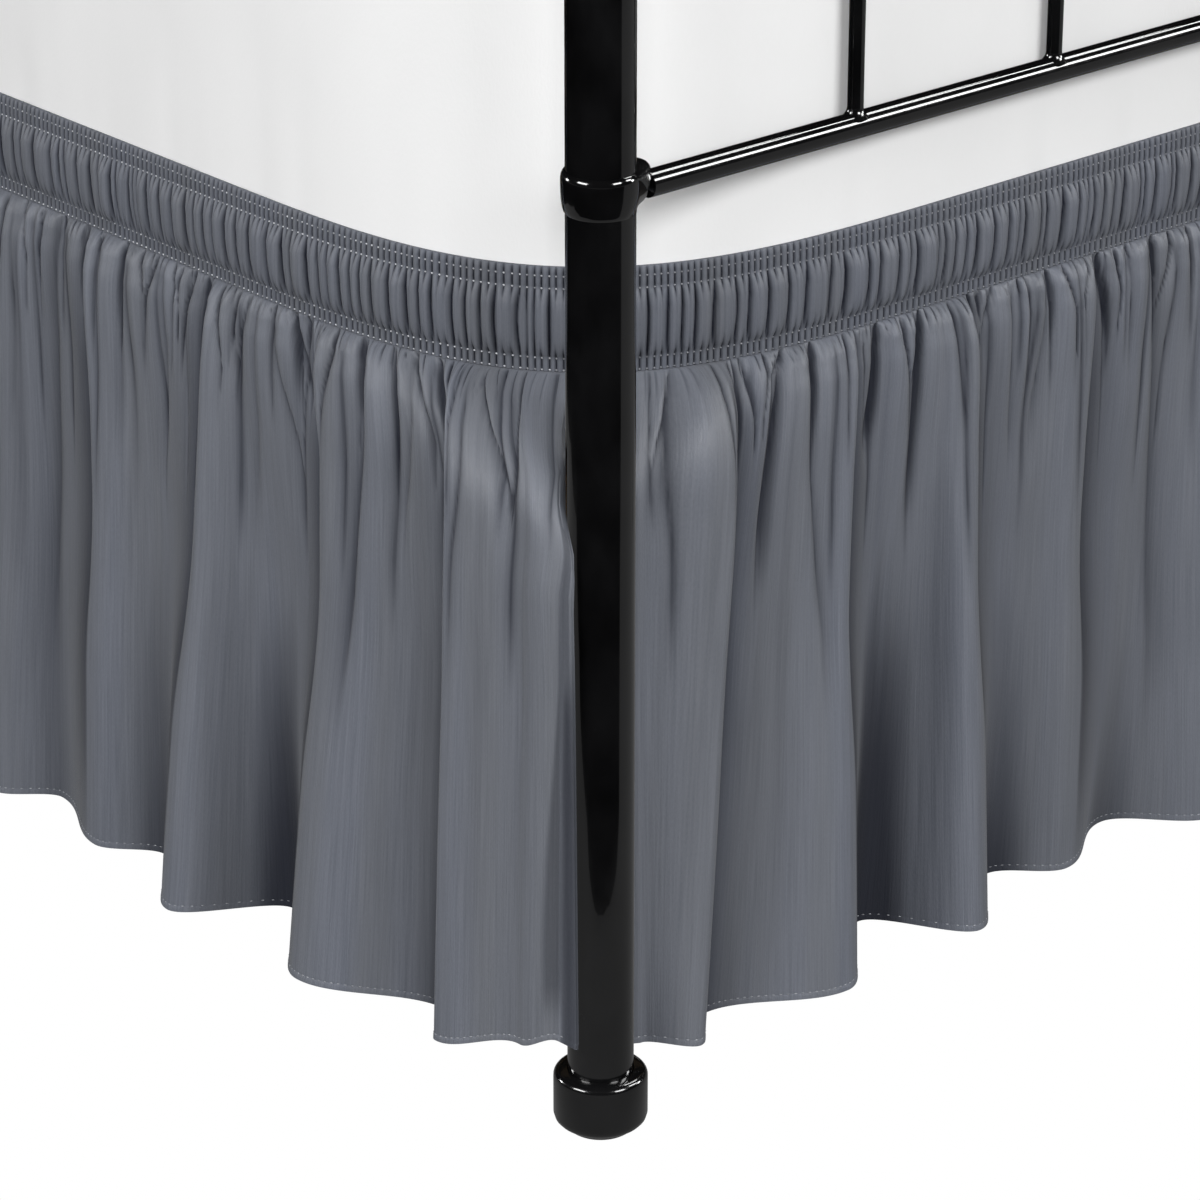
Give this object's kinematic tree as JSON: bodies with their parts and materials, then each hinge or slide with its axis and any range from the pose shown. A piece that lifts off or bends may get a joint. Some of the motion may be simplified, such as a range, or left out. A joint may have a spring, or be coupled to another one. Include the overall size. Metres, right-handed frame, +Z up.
{
  "type": "bed skirt on a metal bed with its mattress",
  "caption": "Gathered elastic bed skirt with split corners, round the mattress of a plain black metal bed, its ruffles hanging almost to the floor.",
  "frame": {"origin": "on the floor, under the middle of the bed's bounding box", "axes": "+Z up, the foot end faces -Y, the left side as seen from the foot faces -X; the bed's length runs along Y"},
  "size_m": [1.066, 1.984, 1.1],
  "materials": {
    "skirt_cloth": "slate grey satin-faced microfibre, gathered, soft sheen",
    "mattress_cover": "plain white cotton cover, matt",
    "black_enamel": "glossy black enamel on steel tube",
    "foot_cap": "glossy black moulded cap",
    "slat_wood": "planed pine, unvarnished"
  },
  "bodies": {
    "root": {"post_foot_left": "black_enamel", "cap_foot_left": "foot_cap", "collar_foot_left": "black_enamel", "post_foot_right": "black_enamel", "cap_foot_right": "foot_cap", "collar_foot_right": "black_enamel", "foot_rail_low": "black_enamel", "foot_rail_top": "black_enamel", "foot_spindle_1": "black_enamel", "foot_spindle_2": "black_enamel", "foot_spindle_3": "black_enamel", "foot_spindle_4": "black_enamel", "foot_spindle_5": "black_enamel", "post_head_left": "black_enamel", "cap_head_left": "foot_cap", "collar_head_left": "black_enamel", "post_head_right": "black_enamel", "cap_head_right": "foot_cap", "collar_head_right": "black_enamel", "head_rail_low": "black_enamel", "head_rail_top": "black_enamel", "head_spindle_1": "black_enamel", "head_spindle_2": "black_enamel", "head_spindle_3": "black_enamel", "head_spindle_4": "black_enamel", "head_spindle_5": "black_enamel", "side_rail_left": "black_enamel", "side_rail_right": "black_enamel", "slat_1": "slat_wood", "slat_2": "slat_wood", "slat_3": "slat_wood", "slat_4": "slat_wood", "slat_5": "slat_wood", "slat_6": "slat_wood", "slat_7": "slat_wood", "mattress": "mattress_cover", "heading": "skirt_cloth", "ruffle_left": "skirt_cloth", "ruffle_right": "skirt_cloth", "ruffle_foot": "skirt_cloth", "ruffle_head": "skirt_cloth"}
  },
  "joints": []
}
